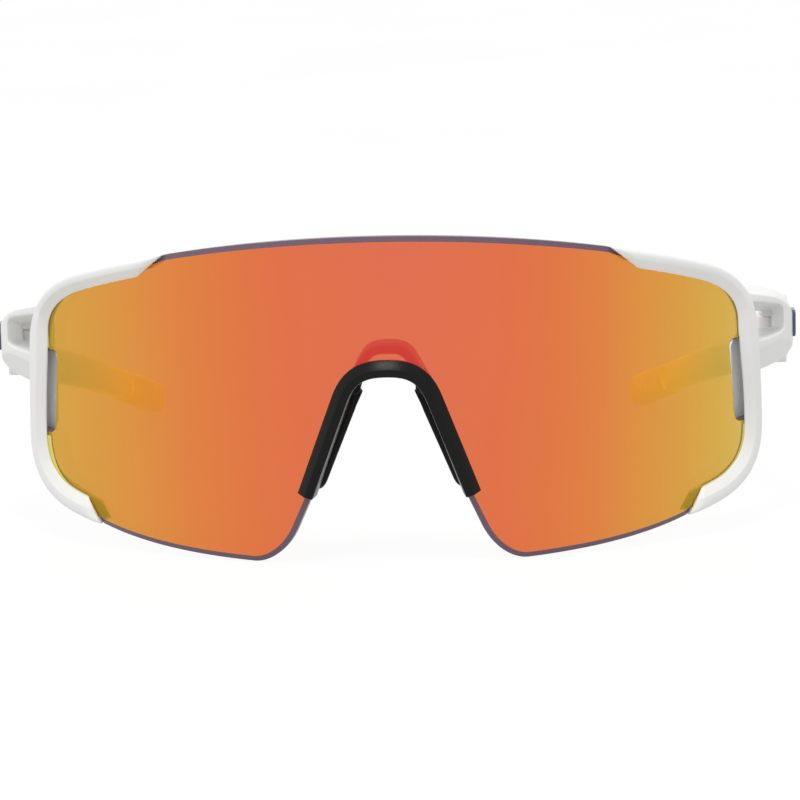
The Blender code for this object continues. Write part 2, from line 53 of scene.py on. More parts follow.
# ---- dimensions shared with the CAD ----
LENS_RADIUS = 88.0
LENS_THICK = 2.0
OPTIC_Z = 29.6
FRONT_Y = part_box("shield_lens")[0].y / MM
TOP_HEIGHT = 29.15
TOP_SAG = 0.00226
LOBE = (25.0, -29.6)  # lowest point of the lens
NOSE_BEND = (16.8, -23.6)  # where its edge turns up beside the nose
LIP_HEIGHT = 1.5
RIM_WALL = 1.0
RIM_START = 41.5
RIM_KNEE = 61.0
RIM_END = (57.6, -25.35)
RIM_STEPS = (20, 26, 14, 26, 7)  # points along each stretch of the rim
RIM_PARTS = (3, 5, 2, 5, 1)  # how the CAD divides the same stretches
TOP_SLANT = 2.0  # how far each tip of the rim runs back along its path, per mm inward
LOW_SLANT = 1.1
HINGE_X = 70.5
HINGE_Y = 46.0
HINGE_LEVELS = (-1.6, 2.8, 3.1, 6.9, 7.2, 10.7)
KNUCKLE_R = 2.7
BORE_R = 0.95
BADGE = (74.2, 42.3, 6.0)
BADGE_HALF = (2.5, 2.6)
BADGE_CORNER = 0.9
TEMPLE_START = 49.3
TIP_Y = 116.0
FADE = (73.3, 112.3)  # where the temple starts to turn straw yellow, and is fully so; its painted glow rises over the same span
SKEW = 2.7  # degrees that both temples lean to the wearer's right
PAD_TOP = (6.2, 1.2)
PAD_LEAN = 22.4
PAD_FLARE = 15.0
PAD_BACK = 10.6
SIT = 0.06  # visible seam between pieces that touch
BEVEL_WIDTH = 0.95  # uncoated edge of the lens
LEG_BEVEL = 1.0  # the same beside the nose
CORNER_BEVEL = 0.08  # the same under the rim
ARCH_BEVEL = 0.25  # the same under the clip


# ---- points and outlines ----
def lens_point(s, z, r=0.0):
    """A point by arc length and height on the lens front, and distance in front of it."""
    angle = s / LENS_RADIUS
    radius = LENS_RADIUS + r
    return (radius * sin(angle), FRONT_Y + LENS_RADIUS - radius * cos(angle), z + OPTIC_Z)


def plan_point(x, y, z):
    """A point measured from the front of the lens and the optical centre line."""
    return (x, y + FRONT_Y, z + OPTIC_Z)


def bezier(p0, c1, c2, p3, count, last=True):
    """Points along a cubic curve, with or without its last one."""
    points = []
    for i in range(count + (1 if last else 0)):
        t = i / count
        a, b, c, d = (1 - t) ** 3, 3 * t * (1 - t) ** 2, 3 * t * t * (1 - t), t**3
        points.append(tuple(a * w + b * x + c * y + d * z for w, x, y, z in zip(p0, c1, c2, p3)))
    return points


def directions(path):
    result = []
    for i in range(len(path)):
        a, b = path[max(i - 1, 0)], path[min(i + 1, len(path) - 1)]
        length = hypot(b[0] - a[0], b[1] - a[1])
        result.append(((b[0] - a[0]) / length, (b[1] - a[1]) / length))
    return result


def beside(point, direction, across, along=0.0):
    """A point moved to the right of the direction of travel, and along it."""
    tx, tz = direction
    return (point[0] + tz * across + tx * along, point[1] - tx * across + tz * along)


def travelled(path):
    """Distance gone at each point of a path."""
    gone = [0.0]
    for a, b in zip(path, path[1:]):
        gone.append(gone[-1] + hypot(b[0] - a[0], b[1] - a[1]))
    return gone


def top_edge(s):
    return TOP_HEIGHT - TOP_SAG * s * s


def rim_path():
    """The rim's outside from its top tip round to its bottom tip, for the +X side."""
    start, knee = (RIM_START, top_edge(RIM_START)), (RIM_KNEE, top_edge(RIM_KNEE))
    temple_side, cheek_side, heel = (75.1, 6.5), (75.9, -10.5), (64.0, -23.8)
    stretches = (
        (start, (48.5, 23.9), (54.8, 22.5), knee),
        (knee, (68.9, 18.6), (74.5, 14.2), temple_side),
        (temple_side, (75.5, 0.5), (75.9, -5.0), cheek_side),
        (cheek_side, (75.9, -18.0), (71.0, -22.0), heel),
        (heel, (61.9, -24.35), (59.8, -24.85), RIM_END),
    )
    path = []
    for stretch, steps in zip(stretches, RIM_STEPS):
        path += bezier(*stretch, steps, last=False)
    return path + [RIM_END]


def rim_line():
    """The rim's path with its directions and distances."""
    path = rim_path()
    return path, directions(path), travelled(path)


def rim_share(i):
    """How far point i is along the rim, from 0 to 1, in the CAD's own spacing."""
    steps_gone, parts_gone = 0, 0
    for steps, parts in zip(RIM_STEPS, RIM_PARTS):
        if i <= steps_gone + steps:
            return (parts_gone + parts * (i - steps_gone) / steps) / sum(RIM_PARTS)
        steps_gone += steps
        parts_gone += parts
    return 1.0


def rise(t, low, high):
    """A smooth step from 0 at low to 1 at high."""
    t = max(0.0, min(1.0, (t - low) / (high - low)))
    return t * t * (3 - 2 * t)


def lip_width(t):
    """Width of the rim's front lip, broadest at the cheek."""
    return 3.1 + 0.7 * rise(t, 0.4, 0.65) + 1.05 * exp(-(((t - 0.48) / 0.08) ** 2))


def clip_path():
    """The nose side of the clip from the middle of the arch down one leg."""
    top, hip, foot = (0.0, 4.15), (7.1, -0.6), (13.65, -17.9)
    path = bezier(top, (3.6, 4.15), (5.6, 3.4), hip, 18, last=False)
    return path + bezier(hip, (9.3, -6.4), (11.5, -12.2), foot, 12)


# ---- mesh tools ----
def linked(name, data):
    ob = bpy.data.objects.new(name, data)
    bpy.context.scene.collection.objects.link(ob)
    return ob


def raw_object(name, points, faces):
    """An object in millimetres with its faces turned outward."""
    mesh = bpy.data.meshes.new(name)
    mesh.from_pydata([tuple(p) for p in points], [], faces)
    ob = linked(name, mesh)
    bm = bmesh.new()
    bm.from_mesh(mesh)
    bmesh.ops.recalc_face_normals(bm, faces=bm.faces)
    if bm.calc_volume(signed=True) < 0:
        bmesh.ops.reverse_faces(bm, faces=bm.faces)
    bm.to_mesh(mesh)
    bm.free()
    return ob


def round_square(count, power):
    """Points round a square with soft corners, from -1 to 1 each way."""
    points = []
    for i in range(count):
        a = 2 * pi * (i + 0.5) / count
        points.append((copysign(abs(cos(a)) ** power, cos(a)), copysign(abs(sin(a)) ** power, sin(a))))
    return points


def loft(name, rings, closed=False):
    """A body through rings of equal length, capped unless it closes on itself."""
    size = len(rings[0])
    points = [p for ring in rings for p in ring]
    faces = []
    spans = len(rings) if closed else len(rings) - 1
    for i in range(spans):
        a, b = i * size, ((i + 1) % len(rings)) * size
        for j in range(size):
            k = (j + 1) % size
            faces.append((a + j, a + k, b + k, b + j))
    if not closed:
        faces.append(tuple(reversed(range(size))))
        faces.append(tuple(range((len(rings) - 1) * size, len(rings) * size)))
    return raw_object(name, points, faces)


def polar(radius, share, height):
    """A point that has gone round the upright axis by a share of a turn."""
    return Vector((radius * cos(2 * pi * share), radius * sin(2 * pi * share), height))


def lathe(name, profile, foot, steps):
    """A turned body: profile is a closed loop of (radius, height) pairs about an upright axis."""
    rings = []
    for i in range(steps):
        rings.append([Vector(foot) + polar(r, 0.5 + i / steps, h) for r, h in profile])
    return loft(name, rings, closed=True)


def solid_rod(name, start, end, radius, edge=0.1, steps=32):
    a, b = Vector(start), Vector(end)
    turn = (b - a).to_track_quat("Z", "Y").to_matrix()
    length = (b - a).length
    rings = []
    for h, r in ((0, radius - edge), (edge, radius), (length - edge, radius), (length, radius - edge)):
        rings.append([a + turn @ polar(r, i / steps, h) for i in range(steps)])
    return loft(name, rings)


def prism(name, outline, low, high):
    """An upright bar with the given plan outline."""
    return loft(name, [[plan_point(x, y, z) for x, y in outline] for z in (low, high)])


def slab(name, centre, u, v, n, half_u, half_v, half_n):
    """A box from its centre, three directions and half sizes."""
    corners = ((-1, -1), (1, -1), (1, 1), (-1, 1))
    rings = []
    for side in (-1, 1):
        middle = Vector(centre) + side * half_n * n
        rings.append([middle + a * half_u * u + b * half_v * v for a, b in corners])
    return loft(name, rings)


def settle(ob):
    """Replaces an object's mesh with its mesh after modifiers."""
    graph = bpy.context.evaluated_depsgraph_get()
    mesh = bpy.data.meshes.new_from_object(ob.evaluated_get(graph))
    old = ob.data
    ob.modifiers.clear()
    ob.data = mesh
    bpy.data.meshes.remove(old)
    return ob


def modified(ob, kind, **settings):
    mod = ob.modifiers.new(kind.lower(), kind)
    for key, value in settings.items():
        setattr(mod, key, value)
    return ob


def combine(ob, other, operation):
    """Joins or cuts an object with another, which is used up."""
    settle(modified(ob, "BOOLEAN", operation=operation, solver="EXACT", object=other))
    bpy.data.objects.remove(other, do_unlink=True)
    return ob


def cut(ob, tool):
    return combine(ob, tool, "DIFFERENCE")


def join(ob, other):
    return combine(ob, other, "UNION")


def soften(ob, voxel, rounds):
    """Turns a joined rough shape into one moulded body with rounded edges."""
    modified(ob, "REMESH", mode="VOXEL", voxel_size=voxel, use_smooth_shade=True)
    return settle(modified(ob, "SMOOTH", factor=0.5, iterations=rounds))


def bevelled(ob, width, segments, angle):
    """Rounds every edge that is sharper than the angle."""
    limit = {"limit_method": "ANGLE", "angle_limit": radians(angle)}
    return settle(modified(ob, "BEVEL", width=width, segments=segments, **limit))


def shaded(ob, angle):
    """Smooth shading that keeps edges sharper than the angle crisp."""
    for poly in ob.data.polygons:
        poly.use_smooth = True
    ob.data.set_sharp_from_angle(angle=radians(angle))
    return ob


def leaned(ob, side):
    """Both temples lean the same way about their hinges, as in the CAD."""
    hinge = Vector((side * HINGE_X, HINGE_Y + FRONT_Y, 0.0))
    swing = Matrix.Rotation(radians(SKEW), 4, "Z")
    ob.data.transform(Matrix.Translation(hinge) @ swing @ Matrix.Translation(-hinge))
    return ob


def place(ob, mats, body, node):
    """Last step for every piece: metres, materials, and the CAD body and node it belongs to."""
    ob.data.transform(Matrix.Scale(MM, 4))
    kept = [poly.material_index for poly in ob.data.polygons]
    ob.data.materials.clear()
    for mat in mats:
        ob.data.materials.append(mat)
    for poly, index in zip(ob.data.polygons, kept):
        poly.material_index = min(index, len(mats) - 1)
    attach(ob, body)
    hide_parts(node)


# ---- materials ----
FINE_GRAIN = (2600.0, 0.00002)
SOFT_GRAIN = (3400.0, 0.00004)
PAD_GRAIN = (3000.0, 0.00004)
WHITE = (0.835, 0.84, 0.825)
WORN_WHITE = (0.9, 0.9, 0.89)
STRAW = (0.93, 0.88, 0.30)
SMOKE = (0.50, 0.35, 0.21)  # what the lens lets through besides its coat


class Nodes:
    """A short way to write the node tree of a material or a world."""

    def __init__(self, owner):
        owner.use_nodes = True
        self.owner, self.tree = owner, owner.node_tree
        self.tree.nodes.clear()

    def add(self, kind, settings=(), **inputs):
        """A node with its settings and inputs; i0, i1 and so on are inputs by number."""
        node = self.tree.nodes.new("ShaderNode" + kind)
        for key, value in dict(settings).items():
            setattr(node, key, value)
        for key, value in inputs.items():
            number = key[1:] if key.startswith("i") else ""
            socket = node.inputs[int(number) if number.isdigit() else key.replace("_", " ")]
            if isinstance(value, bpy.types.NodeSocket):
                self.tree.links.new(value, socket)
            else:
                socket.default_value = value
        return node

    def math(self, operation, a, b):
        return self.add("Math", {"operation": operation}, i0=a, i1=b).outputs[0]

    def ramp(self, factor, stops):
        node = self.add("ValToRGB", Fac=factor)
        elements = node.color_ramp.elements
        for i, (position, colour) in enumerate(stops):
            element = elements[i] if i < 2 else elements.new(position)
            element.position = position
            element.color = (*colour, 1.0)
        return node.outputs["Color"]

    def noise(self, scale, detail, rough=0.5):
        where = self.add("TexCoord").outputs["Object"]
        node = self.add("TexNoise", Vector=where, Scale=scale, Detail=detail, Roughness=rough)
        return node.outputs["Fac"]

    def axis(self, letter, source="TexCoord", output="Object"):
        """One coordinate of the point, or of another node's output."""
        vector = self.add(source).outputs[output]
        return self.add("SeparateXYZ", Vector=vector).outputs[letter]

    def bump(self, height, strength, distance):
        return self.add("Bump", Height=height, Strength=strength, Distance=distance).outputs["Normal"]

    def between(self, factor, low, high):
        return self.add("MapRange", Value=factor, To_Min=low, To_Max=high).outputs["Result"]

    def share(self, value, low, high, kind="LINEAR"):
        """How far a value is from low to high, from 0 to 1."""
        node = self.add("MapRange", {"interpolation_type": kind}, Value=value, From_Min=low, From_Max=high)
        return node.outputs["Result"]

    def blend(self, factor, colour, other):
        return self.add("Mix", {"data_type": "RGBA"}, i0=factor, i6=colour, i7=(*other, 1.0)).outputs[2]

    def finish(self, shader, output="OutputMaterial"):
        self.add(output, Surface=shader.outputs[0])
        return self.owner


def material(name):
    return Nodes(bpy.data.materials.new(name))


def moulded(name, colour, rough, worn, grain=FINE_GRAIN, sheen=0.0, coat=0.0, gleam=0.5, glow=0.0, fade=None):
    """Moulded plastic or rubber: fine grain, uneven gloss, faint blotches and lighter worn edges.

    fade gives where a second colour begins and is full, and that colour. glow is painted light: the surface
    emits its own colour, and with a fade the glow rises with the second colour.
    """
    n = material(name)
    scale, relief = grain
    fine = n.noise(scale, 4.0, 0.6)
    broad = n.noise(55.0, 3.0)
    darker, lighter = tuple(c * 0.955 for c in colour), tuple(min(1, c * 1.03) for c in colour)
    tint = n.ramp(broad, ((0.25, darker), (0.75, lighter)))
    edge = n.add("NewGeometry").outputs["Pointiness"]
    mix = n.blend(n.math("MULTIPLY", n.share(edge, 0.52, 0.6), broad), tint, worn)
    if fade:
        begins, full, other = fade
        reach = n.share(n.axis("Y"), begins, full, "SMOOTHSTEP")
        mix = n.blend(reach, mix, other)
        # the painted glow rises with the second colour
        glow = n.math("MULTIPLY", reach, glow)
    uneven = n.math("ADD", n.math("MULTIPLY", fine, 0.4), n.math("MULTIPLY", n.noise(420.0, 2.0), 0.6))
    gloss = n.between(uneven, rough - 0.07, rough + 0.07)
    surface = {"Base_Color": mix, "Roughness": gloss, "Normal": n.bump(fine, 0.6, relief)}
    layers = {"Sheen_Weight": sheen, "Coat_Weight": coat, "Coat_Roughness": 0.2}
    # painted light: glow makes the plastic emit its own colour, though it is no lamp
    light = {"Specular_IOR_Level": gleam, "Emission_Color": mix, "Emission_Strength": glow}
    return n.finish(n.add("BsdfPrincipled", **surface, **layers, **light))


def metal(name, colour, rough):
    """Turned or drawn metal with fine tool lines and a little tarnish."""
    n = material(name)
    where = n.add("TexCoord").outputs["Object"]
    wave = n.add("TexWave", {"bands_direction": "Z"}, Vector=where, Scale=2600.0, Distortion=0.6, Detail=1.0)
    lines = wave.outputs["Fac"]
    stain = n.noise(700.0, 3.0)
    tint = n.ramp(stain, ((0.3, tuple(c * 0.8 for c in colour)), (0.7, colour)))
    gloss = n.between(n.math("MULTIPLY", lines, stain), rough - 0.08, rough + 0.2)
    bump = n.bump(lines, 0.5, 0.00001)
    return n.finish(n.add("BsdfPrincipled", Base_Color=tint, Metallic=1.0, Roughness=gloss, Normal=bump))


def slant_factor(n):
    """How far the surface turns from the eye, 0 face on and 1 edge on."""
    facing = n.add("LayerWeight", Blend=0.5).outputs["Facing"]
    drift = n.math("ADD", n.math("MULTIPLY", n.axis("X"), 3.5), 1.0)
    wisp = n.math("MULTIPLY", n.math("SUBTRACT", n.noise(38.0, 2.0), 0.5), 0.02)
    return n.math("ADD", n.math("MULTIPLY", facing, drift), wisp)


def coating():
    """Mirror coat, red-orange face on and yellow at a slant, over a clear tint."""
    n = material("lens_mirror_coat")
    slant = slant_factor(n)
    stops = (
        (0.0, (0.62, 0.045, 0.044)),
        (0.044, (0.583, 0.053, 0.026)),
        (0.084, (0.536, 0.077, 0.017)),
        (0.13, (0.48, 0.113, 0.018)),
        (0.18, (0.408, 0.169, 0.018)),
        (0.2255, (0.33, 0.204, 0.018)),
        (0.27, (0.32, 0.224, 0.021)),
        (0.37, (0.30, 0.268, 0.036)),
        (0.6, (0.40, 0.42, 0.16)),
        (1.0, (0.85, 0.85, 0.8)),
    )
    colour = n.ramp(slant, stops)
    gloss = n.between(n.noise(900.0, 3.0), 0.03, 0.075)
    mirror = n.add("BsdfAnisotropic", Color=colour, Roughness=gloss)
    through = ((0.0, (0.228, 0.343, 0.21)), (0.2255, (0.72, 0.31, 0.20)), (0.37, (0.73, 0.40, 0.20)))
    tint = n.ramp(slant, through)
    clear = n.add("BsdfTransparent", Color=tint)
    return n.finish(n.add("AddShader", i0=mirror.outputs[0], i1=clear.outputs[0]))


def margin(name, stops):
    """A dull metallic margin beside the rim, used both for the yellow coat where the mirror stops and for its
    dark line of painted shadow.
    """
    n = material(name)
    tint = n.ramp(n.noise(700.0, 2.0), stops)
    return n.finish(n.add("BsdfPrincipled", Base_Color=tint, Roughness=0.3, Metallic=0.4))


def inner_face():
    """The eye side of the lens: smoke tint with a soft clear reflection."""
    n = material("lens_inner_tint")
    facing = n.add("LayerWeight", Blend=0.5).outputs["Facing"]
    gleam = n.math("ADD", n.math("MULTIPLY", n.math("POWER", facing, 5.0), 0.9), 0.04)
    gloss = n.between(n.noise(700.0, 2.0), 0.03, 0.09)
    mirror = n.add("BsdfAnisotropic", Color=(0.9, 0.88, 0.95, 1.0), Roughness=gloss)
    clear = n.add("BsdfTransparent", Color=(*SMOKE, 1.0))
    return n.finish(n.add("MixShader", Fac=gleam, i1=clear.outputs[0], i2=mirror.outputs[0]))


def lens_edge():
    """The bare ground edge: dull purple-grey with painted shade on its downward faces, and clear from inside.
    """
    n = material("lens_ground_edge")
    fine = n.noise(4200.0, 3.0)
    tint = n.ramp(fine, ((0.3, (0.115, 0.068, 0.10)), (0.7, (0.155, 0.092, 0.138))))
    # painted shade: faces that point down are darkened, down to 0.45 of their colour
    down = n.math("MULTIPLY", n.axis("Z", "NewGeometry", "Normal"), -1.0)
    underside_shade = n.between(n.share(down, 0.3, 0.9), 1.0, 0.45)
    tint = n.add("VectorMath", {"operation": "SCALE"}, i0=tint, Scale=underside_shade).outputs[0]
    gloss, bump = n.between(fine, 0.16, 0.32), n.bump(fine, 0.4, 0.00001)
    ground = n.add("BsdfPrincipled", Base_Color=tint, Roughness=gloss, Normal=bump)
    clear = n.add("BsdfTransparent", Color=(*SMOKE, 1.0))
    inside = n.add("NewGeometry").outputs["Backfacing"]
    return n.finish(n.add("MixShader", Fac=inside, i1=ground.outputs[0], i2=clear.outputs[0]))


# ---- lens ----
def lens_half():
    """Edge of the +X half from the top to the nose arch: arc length, height and bevel width."""
    rim, rim_dirs, _ = rim_line()
    clip = clip_path()
    clip_dirs = directions(clip)
    shoulder = RIM_WALL + 0.25
    top_end, top_steps = RIM_START - 0.1, 48
    edge = []
    for i in range(top_steps + 1):
        s = top_end * i / top_steps
        edge.append((s, top_edge(s), BEVEL_WIDTH))
    first, last = (rim[0], rim_dirs[0]), (rim[-1], rim_dirs[-1])
    edge.append((*beside(*first, shoulder, shoulder * TOP_SLANT - SIT), CORNER_BEVEL))
    for i in range(3, len(rim) - 3):
        edge.append((*beside(rim[i], rim_dirs[i], shoulder), CORNER_BEVEL))
    edge.append((*beside(*last, shoulder, SIT - shoulder * LOW_SLANT), CORNER_BEVEL))
    edge.append((*beside(*last, 0.0, SIT), BEVEL_WIDTH))
    bottom = bezier((57.3, -25.42), (46.9, -28.15), (35.0, -29.1), LOBE, 40)
    edge += [(*p, BEVEL_WIDTH) for p in bottom[1:]]
    turn = bezier(LOBE, (22.6, -29.7), (19.0, -28.0), NOSE_BEND, 16)
    edge += [(*p, BEVEL_WIDTH + (LEG_BEVEL - BEVEL_WIDTH) * i / 16) for i, p in enumerate(turn)][1:]
    foot = (clip[-1], clip_dirs[-1])
    leg = beside(*foot, -0.45, SIT)
    for i in range(1, 6):
        s, z = Vector(NOSE_BEND).lerp(Vector(leg), i / 6)
        edge.append((s, z, LEG_BEVEL))
    edge.append((*leg, LEG_BEVEL, beside(*foot, -0.45 - LEG_BEVEL, SIT)))
    inset = 1.2
    edge.append((*beside(*foot, -inset, SIT), ARCH_BEVEL, beside(*foot, -0.47 - LEG_BEVEL, 0.0)))
    for i in range(len(clip) - 2, 0, -1):
        edge.append((*beside(clip[i], clip_dirs[i], -inset), ARCH_BEVEL))
    edge.append((0.0, clip[0][1] + inset, ARCH_BEVEL))
    return edge


def inset_loop(loop, factor):
    """Moves each point of a clockwise loop inward by its width, or to its own pinned place."""
    count = len(loop)
    result = []
    for i in range(count):
        (ax, az), (bx, bz, width), (cx, cz) = loop[i - 1][:2], loop[i][:3], loop[(i + 1) % count][:2]
        if len(loop[i]) > 3 and factor == 1.0:
            result.append(loop[i][3])
            continue
        d1, d2 = Vector((bx - ax, bz - az)), Vector((cx - bx, cz - bz))
        n1, n2 = Vector((d1.y, -d1.x)).normalized(), Vector((d2.y, -d2.x)).normalized()
        middle = (n1 + n2).normalized()
        reach = width * factor / max(0.5, middle.dot(n1))
        result.append((bx + middle.x * reach, bz + middle.y * reach))
    return result


SLOT_CENTRE = Vector((71.5, -1.8))
SLOT = [(68.5, 4.3), (68.75, 5.1), (69.5, 5.5), (78.0, 5.5)]
SLOT += [(78.0, -9.5), (71.0, -9.5), (70.2, -9.1), (69.8, -8.2)]


def slot_cutter(side):
    """Cutter for the vent slot, which widens at the front face and runs out under the rim."""
    chamfer = 0.28
    rings = []
    for depth, grow in ((-2.0, chamfer), (0.0, chamfer), (chamfer, 0.0), (4.0, 0.0)):
        ring = []
        for s, z in SLOT:
            away = Vector((s, z)) - SLOT_CENTRE
            wide = s + copysign(grow, away.x)
            ring.append((side * wide, depth, z + copysign(grow, away.y)))
        rings.append(ring)
    cutter = loft("slot_cutter", rings)
    for poly in cutter.data.polygons:
        poly.material_index = 1
    return cutter


def make_lens(mats):
    """Built flat as arc length, depth and height, then wrapped round its cylinder."""
    half = lens_half()
    loop = list(half)
    for s, z, width, *pinned in reversed(half[1:-1]):
        loop.append((-s, z, width, *[(-u, v) for u, v in pinned]))
    outer = [p[:2] for p in loop]
    inner = inset_loop(loop, 1.0)
    back = inset_loop(loop, 0.25)
    levels = ((inner, 0.0), (outer, 0.45), (outer, LENS_THICK - 0.15), (back, LENS_THICK))
    lens = loft("shield_lens_visual", [[(s, depth, z) for s, z in ring] for ring, depth in levels])
    for mat in mats:
        lens.data.materials.append(mat)
    for poly in lens.data.polygons:
        faced = 0 if poly.normal.y < 0 else 2
        poly.material_index = faced if abs(poly.normal.y) > 0.99 else 1
    for side in (-1, 1):
        cutter = slot_cutter(side)
        for mat in mats:
            cutter.data.materials.append(mat)
        cut(lens, cutter)
    bm = bmesh.new()
    bm.from_mesh(lens.data)
    bmesh.ops.triangulate(bm, faces=bm.faces)
    strip, strips = 1.6, 46
    for i in range(-strips, strips + 1):
        geom = bm.verts[:] + bm.edges[:] + bm.faces[:]
        bmesh.ops.bisect_plane(bm, geom=geom, dist=0.0001, plane_co=(i * strip, 0, 0), plane_no=(1, 0, 0))
    bmesh.ops.triangulate(bm, faces=bm.faces)
    bm.to_mesh(lens.data)
    bm.free()
    shaded(lens, 20.0)
    flat_normals = [tuple(c.vector) for c in lens.data.corner_normals]
    wrapped = []
    for corner, (ns, ny, nz) in zip(lens.data.loops, flat_normals):
        angle = lens.data.vertices[corner.vertex_index].co.x / LENS_RADIUS
        across = Vector((cos(angle), sin(angle), 0))
        inward = Vector((-sin(angle), cos(angle), 0))
        wrapped.append((ns * across + ny * inward + Vector((0, 0, nz))).normalized())
    for v in lens.data.vertices:
        v.co = lens_point(v.co.x, v.co.z, -v.co.y)
    lens.data.normals_split_custom_set(wrapped)
    return lens


# ---- side frames ----
def rim_section(width, rear, lean, depth):
    """Rim cross-section: distance in from the outside, and distance in front of the lens."""
    radius, nick = 0.75, 0.12
    floor = -LENS_THICK - SIT
    back = floor - depth
    foot = rear - lean * depth
    section = []
    for i in range(5):
        a = radians(22.5 * i)
        section.append((radius - radius * cos(a), radius + (LIP_HEIGHT - radius) * sin(a)))
    section += [(width - 1.62, LIP_HEIGHT + 0.02), (width - 1.52, LIP_HEIGHT - 0.02)]
    section += [(width - 1.44, LIP_HEIGHT - 0.1), (width - 0.16, 0.4), (width - 0.03, 0.26), (width, SIT)]
    section += [(RIM_WALL + nick, SIT), (RIM_WALL, SIT - nick)]
    section += [(RIM_WALL, floor + nick), (RIM_WALL + nick, floor)]
    section += [(rear - 0.1, floor), (rear, floor - 0.08), (foot, back + 0.1), (foot - 0.15, back)]
    section += [(0.5, back), (0.1, back + 0.3), (0.0, back + 0.8)]
    return section


def tip_slant(to_start, to_end):
    """How steeply the rim's section leans along its path near each tip."""
    return TOP_SLANT * exp(-to_start / 8.0) - LOW_SLANT * exp(-to_end / 4.0)


def make_rim():
    """The C of the half rim, tapered at its tips and filled behind the vent slot."""
    path, ways, gone = rim_line()
    rings = []
    for i in range(len(path)):
        t, level = rim_share(i), path[i][1]
        side = rise(t, 0.12, 0.3) - rise(t, 0.7, 0.88)
        behind_slot = rise(level, -9.9, -9.0) - rise(level, 4.9, 5.7) if t > 0.3 else 0.0
        to_start, to_end = gone[i], gone[-1] - gone[i]
        slant = tip_slant(to_start, to_end)
        pinch = 0.12 * exp(-to_start / 0.6) + 0.12 * exp(-to_end / 0.6)
        height = 1.0 - 0.6 * exp(-to_start / 1.3) - 0.75 * exp(-to_end / 1.3)
        rear = 2.1 + 0.7 * rise(t, 0.7, 0.88) + 2.3 * behind_slot
        depth = 1.9 - 0.7 * side * (1 - behind_slot)
        ring = []
        for across, out in rim_section(lip_width(t) - pinch, rear - pinch, 0.3 + 0.9 * side, depth):
            set_back = min(0.0, out + LENS_THICK) * exp(-to_end / 2.0)
            if out > SIT:
                out = SIT + (out - SIT) * height
            s, z = beside(path[i], ways[i], across, across * slant + set_back)
            ring.append(lens_point(s, z, out))
        rings.append(ring)
    return bevelled(loft("rim_left", rings), 0.14, 2, 62.0)


def make_rear_tab():
    """The rear lip that runs on behind the lens past the bottom tip."""
    path, ways, _ = rim_line()
    end = len(path) - 1
    face = -2.1
    section = [(0.7, face), (2.85, face), (3.0, -2.25), (2.9, -3.1)]
    section += [(2.6, -3.4), (0.9, -3.4), (0.5, -3.0), (0.45, -2.35)]
    stations = ((end - 9, 0.0, 0.0, 0.0), (end, -3.5, 0.0, 0.0), (end, 0.5, 1.2, 0.0), (end, 0.7, 1.2, 0.08))
    rings = []
    for i, reach, lean, nip in stations:
        slant = LOW_SLANT if lean else 0.5
        ring = []
        for across, out in section:
            onward = reach + lean * (out - face) - slant * across
            s, z = beside(path[i], ways[i], 2.0 + (across - 2.0) * (1 - nip), onward)
            ring.append(lens_point(s, z, out - nip))
        rings.append(ring)
    return loft("rear_tab_left", rings)


def make_fringe(side, name):
    """A yellow margin where the mirror coat stops short of the rim, with a dark inner line of painted shadow
    beside it.
    """
    path, ways, gone = rim_line()
    broad = 1.15 if side < 0 else 0.4
    tuck, line, foot, top = 0.15, 0.2, 0.012, 0.03
    pieces = []
    for low, high in ((-40.0, -9.75), (5.75, 12.0)):
        rings = []
        for i in range(RIM_STEPS[0], len(path)):
            level = path[i][1]
            if not low <= level <= high:
                continue
            to_end = gone[-1] - gone[i]
            width = 0.2 + (broad - 0.2) * rise(to_end, 9.0, 22.0)
            if low > 0:
                width = 0.25 * broad * rise(high - level, 0.0, 6.0) + 0.02
            slant = tip_slant(gone[i], to_end)
            edge = lip_width(rim_share(i))
            # the strip's last stretch, past the yellow width, is the dark line of painted shadow
            strip = [(-tuck, foot), (width, foot), (width + line, foot)]
            strip += [(width + line, top), (width, top), (-tuck, top)]
            ring = []
            for across, out in strip:
                s, z = beside(path[i], ways[i], edge + across, (edge + across) * slant)
                ring.append(lens_point(side * s, z, out))
            rings.append(ring)
        piece = loft(name, rings)
        # faces of the painted shadow line get the dark material
        for k, poly in enumerate(piece.data.polygons):
            in_shadow_line = k < 6 * (len(rings) - 1) and k % 6 in (1, 2, 3)
            poly.material_index = 1 if in_shadow_line else 0
        pieces.append(piece)
    return pieces


def rounded(outline, radius, steps=5):
    """Replaces each corner of a closed outline with an arc."""
    result = []
    count = len(outline)
    for i in range(count):
        a, b, c = Vector(outline[i - 1]), Vector(outline[i]), Vector(outline[(i + 1) % count])
        back, ahead = (a - b), (c - b)
        reach = min(radius, back.length * 0.45, ahead.length * 0.45)
        start, end = b + back.normalized() * reach, b + ahead.normalized() * reach
        for k in range(steps + 1):
            t = k / steps
            p = start * (1 - t) ** 2 + b * 2 * t * (1 - t) + end * t * t
            result.append((p.x, p.y))
    return result


# corners of the bracket's window as pairs: where it meets the front, then its inner opening
WINDOW = (
    ((65.0, 32.0, 11.2), (67.0, 40.2, 8.5)),
    ((72.0, 36.0, 10.2), (70.2, 40.2, 8.4)),
    ((72.2, 36.0, 5.4), (70.2, 40.2, 5.6)),
    ((65.0, 32.0, 4.0), (67.0, 40.2, 4.9)),
)


def window_point(u, v, share):
    """A point of the window's funnel: u across, v up, share from the front to the inner opening."""
    corners = [[a + (b - a) * share for a, b in zip(*pair)] for pair in WINDOW]
    top_in, top_out, low_out, low_in = (Vector(corner) for corner in corners)
    low, top = low_in.lerp(low_out, u), top_in.lerp(top_out, u)
    return plan_point(*low.lerp(top, v))


